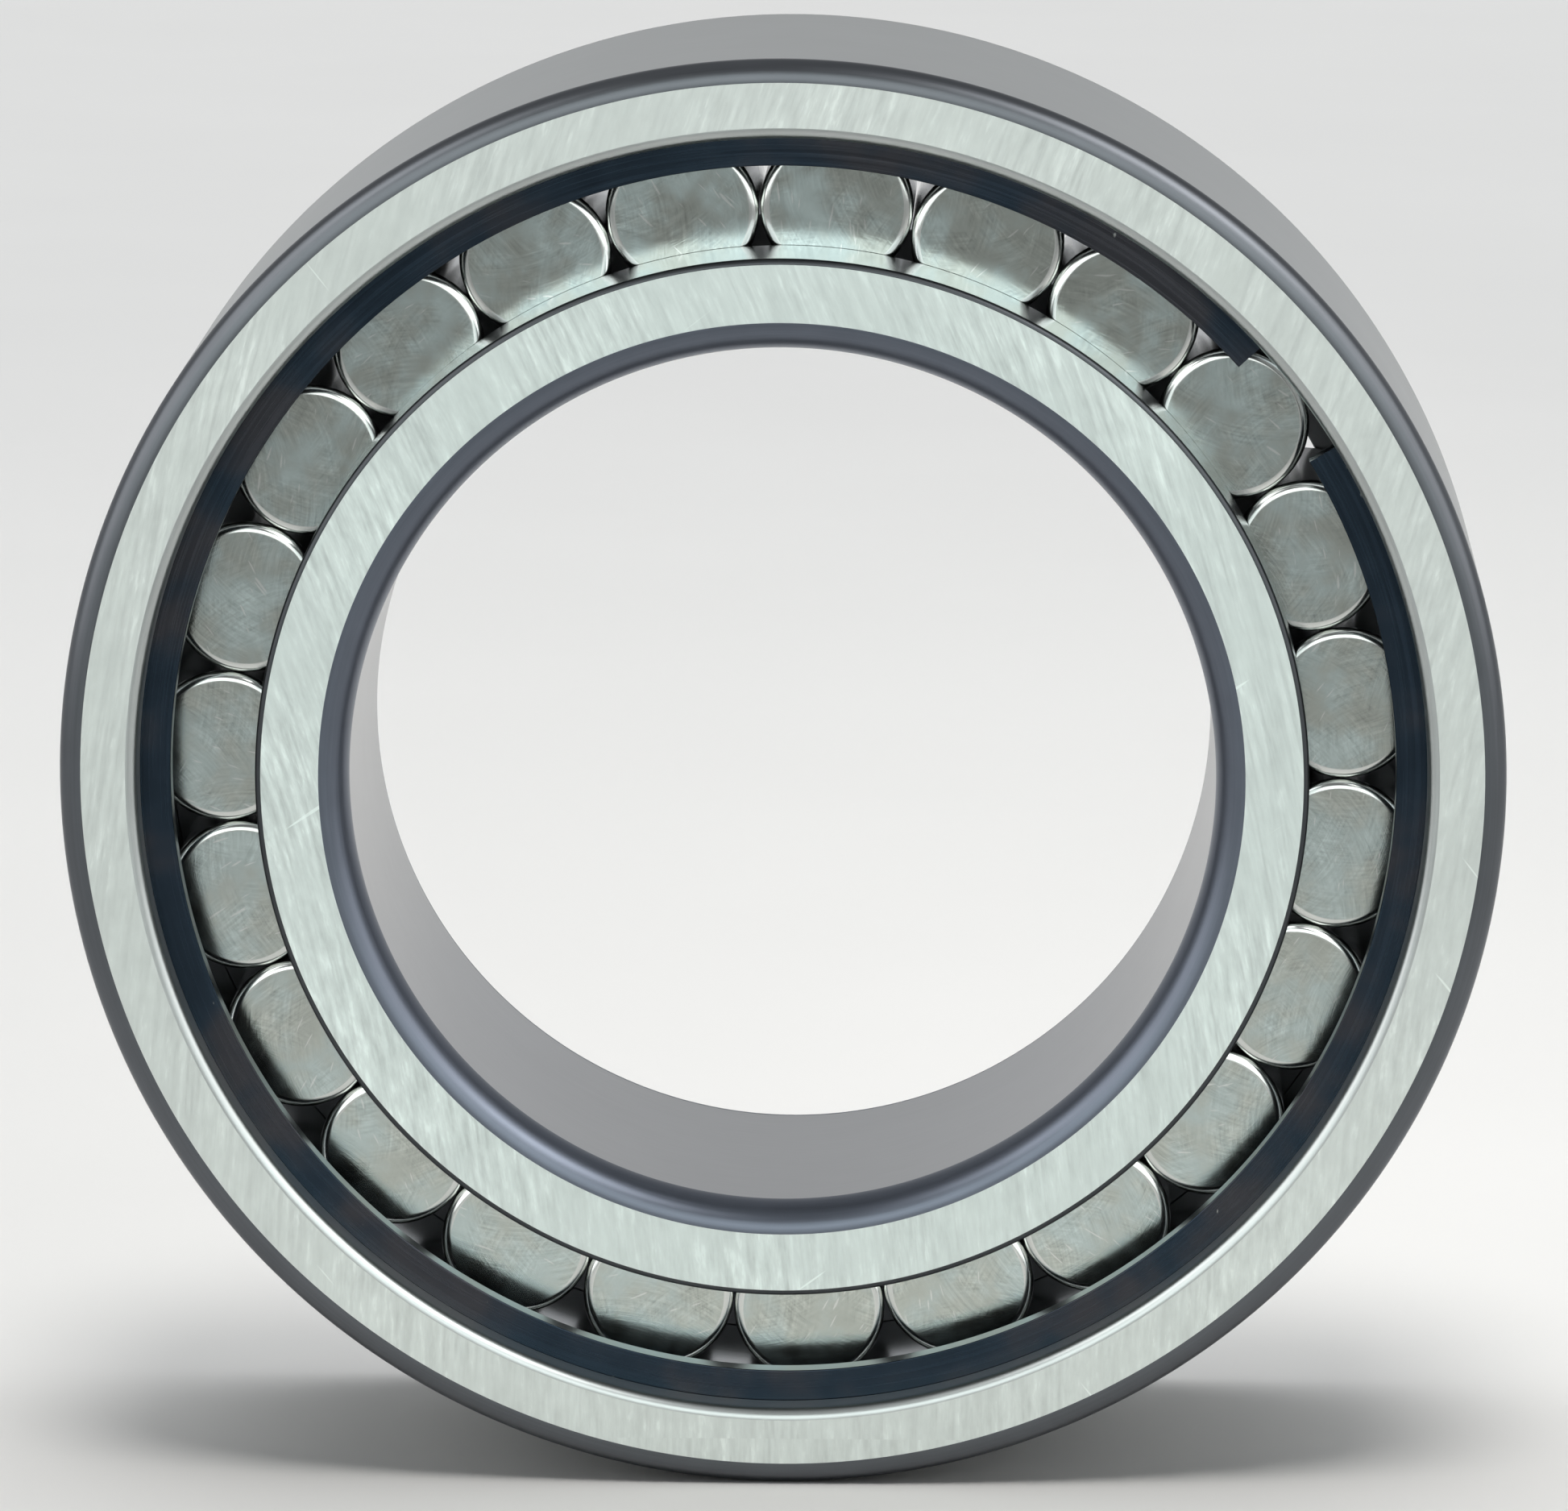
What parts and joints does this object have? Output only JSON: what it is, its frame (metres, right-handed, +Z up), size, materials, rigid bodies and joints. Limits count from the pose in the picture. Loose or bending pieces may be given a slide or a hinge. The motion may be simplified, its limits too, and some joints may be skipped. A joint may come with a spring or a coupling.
{
  "type": "cylindrical roller bearing",
  "caption": "Full-complement cylindrical roller bearing: plain-bore inner ring, ribbed outer ring and steel rollers with no cage, held in at the front by a split retaining ring.",
  "frame": {"origin": "centre of the bearing: on its axis, midway between its two side faces", "axes": "+Y along the bearing's axis, towards the back (the ribbed side of the outer ring); the retaining ring faces -Y; +Z up with the bearing standing on its rim, +X to the right seen from the front"},
  "size_m": [0.075, 0.023, 0.075],
  "materials": {
    "outer_ring_steel": "fine ground bearing steel, satin faces, bright corners",
    "inner_ring_steel": "fine ground bearing steel, satin faces and bore",
    "roller_steel": "lapped bearing steel, near mirror, ground ends",
    "retaining_ring_steel": "dark heat-treated spring steel, dull"
  },
  "bodies": {
    "outer_ring": {"outer_ring": "outer_ring_steel", "retaining_ring": "retaining_ring_steel"},
    "inner_ring": {"inner_ring": "inner_ring_steel"},
    "roller_01": {"roller_01": "roller_steel"},
    "roller_02": {"roller_02": "roller_steel"},
    "roller_03": {"roller_03": "roller_steel"},
    "roller_04": {"roller_04": "roller_steel"},
    "roller_05": {"roller_05": "roller_steel"},
    "roller_06": {"roller_06": "roller_steel"},
    "roller_07": {"roller_07": "roller_steel"},
    "roller_08": {"roller_08": "roller_steel"},
    "roller_09": {"roller_09": "roller_steel"},
    "roller_10": {"roller_10": "roller_steel"},
    "roller_11": {"roller_11": "roller_steel"},
    "roller_12": {"roller_12": "roller_steel"},
    "roller_13": {"roller_13": "roller_steel"},
    "roller_14": {"roller_14": "roller_steel"},
    "roller_15": {"roller_15": "roller_steel"},
    "roller_16": {"roller_16": "roller_steel"},
    "roller_17": {"roller_17": "roller_steel"},
    "roller_18": {"roller_18": "roller_steel"},
    "roller_19": {"roller_19": "roller_steel"},
    "roller_20": {"roller_20": "roller_steel"},
    "roller_21": {"roller_21": "roller_steel"},
    "roller_22": {"roller_22": "roller_steel"},
    "roller_23": {"roller_23": "roller_steel"}
  },
  "joints": [
    {"name": "inner_ring_turn", "type": "hinge", "parent": "outer_ring", "child": "inner_ring", "pos_m": [0, 0, 0], "axis": [0, 1, 0], "continuous": true},
    {"name": "roller_set_orbit", "type": "hinge", "parent": "outer_ring", "child": "roller_01", "pos_m": [0, 0, 0], "axis": [0, 1, 0], "continuous": true},
    {"name": "roller_02_spin", "type": "hinge", "parent": "roller_01", "child": "roller_02", "pos_m": [0.02726, 0, 0.01108], "axis": [0, 1, 0], "continuous": true},
    {"name": "roller_03_spin", "type": "hinge", "parent": "roller_01", "child": "roller_03", "pos_m": [0.02326, 0, 0.01802], "axis": [0, 1, 0], "continuous": true},
    {"name": "roller_04_spin", "type": "hinge", "parent": "roller_01", "child": "roller_04", "pos_m": [0.01754, 0, 0.02363], "axis": [0, 1, 0], "continuous": true},
    {"name": "roller_05_spin", "type": "hinge", "parent": "roller_01", "child": "roller_05", "pos_m": [0.01051, 0, 0.02748], "axis": [0, 1, 0], "continuous": true},
    {"name": "roller_06_spin", "type": "hinge", "parent": "roller_01", "child": "roller_06", "pos_m": [0.00271, 0, 0.0293], "axis": [0, 1, 0], "continuous": true},
    {"name": "roller_07_spin", "type": "hinge", "parent": "roller_01", "child": "roller_07", "pos_m": [-0.0053, 0, 0.02894], "axis": [0, 1, 0], "continuous": true},
    {"name": "roller_08_spin", "type": "hinge", "parent": "roller_01", "child": "roller_08", "pos_m": [-0.01291, 0, 0.02644], "axis": [0, 1, 0], "continuous": true},
    {"name": "roller_09_spin", "type": "hinge", "parent": "roller_01", "child": "roller_09", "pos_m": [-0.01957, 0, 0.02198], "axis": [0, 1, 0], "continuous": true},
    {"name": "roller_10_spin", "type": "hinge", "parent": "roller_01", "child": "roller_10", "pos_m": [-0.02477, 0, 0.01588], "axis": [0, 1, 0], "continuous": true},
    {"name": "roller_11_spin", "type": "hinge", "parent": "roller_01", "child": "roller_11", "pos_m": [-0.02814, 0, 0.00861], "axis": [0, 1, 0], "continuous": true},
    {"name": "roller_12_spin", "type": "hinge", "parent": "roller_01", "child": "roller_12", "pos_m": [-0.02942, 0, 0.0007], "axis": [0, 1, 0], "continuous": true},
    {"name": "roller_13_spin", "type": "hinge", "parent": "roller_01", "child": "roller_13", "pos_m": [-0.02852, 0, -0.00726], "axis": [0, 1, 0], "continuous": true},
    {"name": "roller_14_spin", "type": "hinge", "parent": "roller_01", "child": "roller_14", "pos_m": [-0.0255, 0, -0.01469], "axis": [0, 1, 0], "continuous": true},
    {"name": "roller_15_spin", "type": "hinge", "parent": "roller_01", "child": "roller_15", "pos_m": [-0.02059, 0, -0.02102], "axis": [0, 1, 0], "continuous": true},
    {"name": "roller_16_spin", "type": "hinge", "parent": "roller_01", "child": "roller_16", "pos_m": [-0.01416, 0, -0.0258], "axis": [0, 1, 0], "continuous": true},
    {"name": "roller_17_spin", "type": "hinge", "parent": "roller_01", "child": "roller_17", "pos_m": [-0.00667, 0, -0.02866], "axis": [0, 1, 0], "continuous": true},
    {"name": "roller_18_spin", "type": "hinge", "parent": "roller_01", "child": "roller_18", "pos_m": [0.00131, 0, -0.0294], "axis": [0, 1, 0], "continuous": true},
    {"name": "roller_19_spin", "type": "hinge", "parent": "roller_01", "child": "roller_19", "pos_m": [0.00919, 0, -0.02795], "axis": [0, 1, 0], "continuous": true},
    {"name": "roller_20_spin", "type": "hinge", "parent": "roller_01", "child": "roller_20", "pos_m": [0.01639, 0, -0.02444], "axis": [0, 1, 0], "continuous": true},
    {"name": "roller_21_spin", "type": "hinge", "parent": "roller_01", "child": "roller_21", "pos_m": [0.02238, 0, -0.01911], "axis": [0, 1, 0], "continuous": true},
    {"name": "roller_22_spin", "type": "hinge", "parent": "roller_01", "child": "roller_22", "pos_m": [0.0267, 0, -0.01236], "axis": [0, 1, 0], "continuous": true},
    {"name": "roller_23_spin", "type": "hinge", "parent": "roller_01", "child": "roller_23", "pos_m": [0.02905, 0, -0.0047], "axis": [0, 1, 0], "continuous": true}
  ],
  "couplings": [
    {"joint": "roller_set_orbit", "follows": "inner_ring_turn", "ratio": 0.43203},
    {"joint": "roller_02_spin", "follows": "inner_ring_turn", "ratio": -3.6102},
    {"joint": "roller_03_spin", "follows": "inner_ring_turn", "ratio": -3.6102},
    {"joint": "roller_04_spin", "follows": "inner_ring_turn", "ratio": -3.6102},
    {"joint": "roller_05_spin", "follows": "inner_ring_turn", "ratio": -3.6102},
    {"joint": "roller_06_spin", "follows": "inner_ring_turn", "ratio": -3.6102},
    {"joint": "roller_07_spin", "follows": "inner_ring_turn", "ratio": -3.6102},
    {"joint": "roller_08_spin", "follows": "inner_ring_turn", "ratio": -3.6102},
    {"joint": "roller_09_spin", "follows": "inner_ring_turn", "ratio": -3.6102},
    {"joint": "roller_10_spin", "follows": "inner_ring_turn", "ratio": -3.6102},
    {"joint": "roller_11_spin", "follows": "inner_ring_turn", "ratio": -3.6102},
    {"joint": "roller_12_spin", "follows": "inner_ring_turn", "ratio": -3.6102},
    {"joint": "roller_13_spin", "follows": "inner_ring_turn", "ratio": -3.6102},
    {"joint": "roller_14_spin", "follows": "inner_ring_turn", "ratio": -3.6102},
    {"joint": "roller_15_spin", "follows": "inner_ring_turn", "ratio": -3.6102},
    {"joint": "roller_16_spin", "follows": "inner_ring_turn", "ratio": -3.6102},
    {"joint": "roller_17_spin", "follows": "inner_ring_turn", "ratio": -3.6102},
    {"joint": "roller_18_spin", "follows": "inner_ring_turn", "ratio": -3.6102},
    {"joint": "roller_19_spin", "follows": "inner_ring_turn", "ratio": -3.6102},
    {"joint": "roller_20_spin", "follows": "inner_ring_turn", "ratio": -3.6102},
    {"joint": "roller_21_spin", "follows": "inner_ring_turn", "ratio": -3.6102},
    {"joint": "roller_22_spin", "follows": "inner_ring_turn", "ratio": -3.6102},
    {"joint": "roller_23_spin", "follows": "inner_ring_turn", "ratio": -3.6102}
  ]
}
